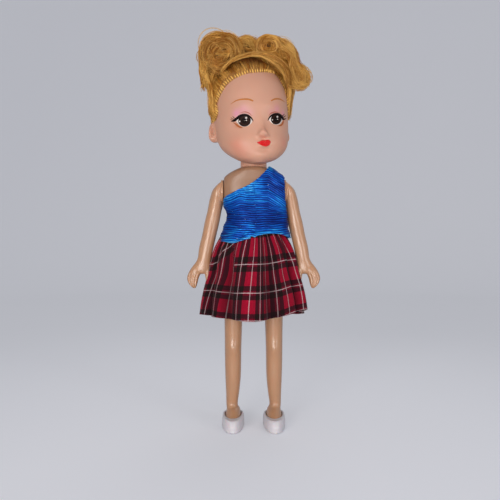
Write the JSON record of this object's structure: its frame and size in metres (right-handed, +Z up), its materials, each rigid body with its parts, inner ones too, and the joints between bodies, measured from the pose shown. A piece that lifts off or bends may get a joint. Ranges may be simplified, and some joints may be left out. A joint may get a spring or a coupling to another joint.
{
  "type": "plastic doll",
  "caption": "Standing play doll with a turning head, swinging arms and legs, hair in two buns, a one-shoulder top and a gathered tartan skirt.",
  "frame": {"origin": "the middle of the doll's box at the level of the soles", "axes": "+Z up along the standing doll, -Y towards the front, +X towards the doll's left side"},
  "size_m": [0.0892, 0.058, 0.2541],
  "materials": {
    "head_vinyl": "soft painted vinyl",
    "body_plastic": "satin moulded plastic",
    "hair": "glossy golden fibre",
    "elastic": "woven elastic",
    "lurex_cloth": "crinkled glitter cloth",
    "closure_strip": "hook and loop strip",
    "tartan_cloth": "woven check",
    "shoe_plastic": "soft moulded plastic"
  },
  "bodies": {
    "torso": {"torso_front": "body_plastic", "torso_back": "body_plastic", "top_body": "lurex_cloth", "top_closure_loop": "closure_strip", "top_closure_hook": "closure_strip", "skirt": "tartan_cloth", "skirt_elastic": "elastic"},
    "head": {"head_shell": "head_vinyl", "hair_scalp": "hair", "hair_bun_right": "hair", "hair_bun_left": "hair", "hair_tie_right": "elastic", "hair_tie_left": "elastic"},
    "arm_left": {"arm_left": "body_plastic"},
    "arm_right": {"arm_right": "body_plastic"},
    "leg_left": {"leg_left": "body_plastic", "shoe_left": "shoe_plastic"},
    "leg_right": {"leg_right": "body_plastic", "shoe_right": "shoe_plastic"}
  },
  "joints": [
    {"name": "neck_turn", "type": "hinge", "parent": "torso", "child": "head", "pos_m": [0, 0, 0.17], "axis": [0, 0, 1], "continuous": true},
    {"name": "shoulder_left", "type": "hinge", "parent": "torso", "child": "arm_left", "pos_m": [0.0194, 0, 0.151], "axis": [-1, 0, 0], "range_deg": [-140, 140]},
    {"name": "shoulder_right", "type": "hinge", "parent": "torso", "child": "arm_right", "pos_m": [-0.0194, 0, 0.151], "axis": [-1, 0, 0], "range_deg": [-140, 140]},
    {"name": "hip_left", "type": "hinge", "parent": "torso", "child": "leg_left", "pos_m": [0.0068, 0, 0.103], "axis": [-1, 0, 0], "range_deg": [-25, 90], "deforming": ["skirt"]},
    {"name": "hip_right", "type": "hinge", "parent": "torso", "child": "leg_right", "pos_m": [-0.0068, 0, 0.103], "axis": [-1, 0, 0], "range_deg": [-25, 90], "deforming": ["skirt"]}
  ]
}
